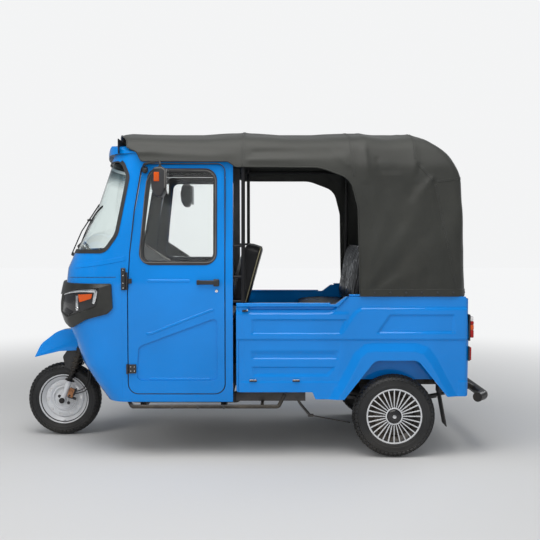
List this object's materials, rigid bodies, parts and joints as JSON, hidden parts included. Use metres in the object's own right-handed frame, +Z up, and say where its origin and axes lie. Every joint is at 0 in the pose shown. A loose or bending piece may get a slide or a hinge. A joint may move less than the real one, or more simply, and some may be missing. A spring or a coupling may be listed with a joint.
{
  "type": "auto rickshaw",
  "caption": "Three-wheeled passenger carrier with a closed cab, hinged doors, ribbed open bed with bench, cloth canopy and steered front wheel.",
  "frame": {"origin": "on the ground at the centre of the bounding box", "axes": "+X to the rear, +Y to the vehicle's right, +Z up"},
  "size_m": [3.05, 1.644, 2.061],
  "materials": {
    "blue_paint": "gloss",
    "black_paint": "satin",
    "silver_paint": "satin",
    "dark_steel": "satin",
    "black_plastic": "matte",
    "lamp_lens": "gloss",
    "amber_lens": "gloss",
    "red_lens": "gloss",
    "clear_glass": "gloss",
    "seal_rubber": "matte",
    "canopy_cloth": "matte",
    "seat_vinyl": "satin",
    "tyre_rubber": "matte",
    "grey_floor": "matte"
  },
  "bodies": {
    "body": {"chassis_frame": "black_paint", "engine_block": "dark_steel", "rear_axle": "dark_steel", "leaf_springs": "dark_steel", "cab_nose": "blue_paint", "cab_frame": "blue_paint", "cab_floor": "grey_floor", "wheel_housing": "black_paint", "nose_mask": "black_plastic", "headlamps": "lamp_lens", "indicator_lamps": "amber_lens", "windscreen": "clear_glass", "windscreen_trim": "seal_rubber", "dashboard": "black_plastic", "bed_floor": "grey_floor", "bed_front": "blue_paint", "wheel_tubs": "blue_paint", "bed_sides": "blue_paint", "tail_lamps": "red_lens", "rear_bumper": "black_paint", "mud_flaps": "seal_rubber", "canopy": "canopy_cloth", "canopy_frame": "black_paint", "seat_bases": "black_paint", "seats": "seat_vinyl"},
    "steering": {"fork": "silver_paint", "handlebar": "black_paint", "front_mudguard": "blue_paint"},
    "front_wheel": {"front_tyre": "tyre_rubber", "front_rim": "silver_paint"},
    "rear_wheel_left": {"rear_tyre_left": "tyre_rubber", "rear_rim_left": "black_paint"},
    "rear_wheel_right": {"rear_tyre_right": "tyre_rubber", "rear_rim_right": "black_paint"},
    "door_left": {"door_left_shell": "blue_paint", "door_left_glass": "clear_glass", "door_left_seal": "seal_rubber", "door_left_fittings": "black_plastic"},
    "door_right": {"door_right_shell": "blue_paint", "door_right_glass": "clear_glass", "door_right_seal": "seal_rubber", "door_right_fittings": "black_plastic"},
    "tailgate": {"tailgate": "blue_paint"}
  },
  "joints": [
    {"name": "steering", "type": "hinge", "parent": "body", "child": "steering", "pos_m": [-1.275, 0, 0.25], "axis": [0.342, 0, 0.9397], "range_deg": [-36, 36]},
    {"name": "front_wheel", "type": "hinge", "parent": "steering", "child": "front_wheel", "pos_m": [-1.275, 0, 0.25], "axis": [0, 1, 0], "continuous": true},
    {"name": "rear_wheel_left", "type": "hinge", "parent": "body", "child": "rear_wheel_left", "pos_m": [0.912, -0.56, 0.257], "axis": [0, 1, 0], "continuous": true},
    {"name": "rear_wheel_right", "type": "hinge", "parent": "body", "child": "rear_wheel_right", "pos_m": [0.912, 0.56, 0.257], "axis": [0, 1, 0], "continuous": true},
    {"name": "door_left", "type": "hinge", "parent": "body", "child": "door_left", "pos_m": [-0.733, -0.612, 0.9], "axis": [0, 0, -1], "range_deg": [0, 65]},
    {"name": "door_right", "type": "hinge", "parent": "body", "child": "door_right", "pos_m": [-0.733, 0.612, 0.9], "axis": [0, 0, 1], "range_deg": [0, 65]},
    {"name": "tailgate", "type": "hinge", "parent": "body", "child": "tailgate", "pos_m": [1.357, 0, 0.4813], "axis": [0, 1, 0], "range_deg": [0, 90]}
  ]
}
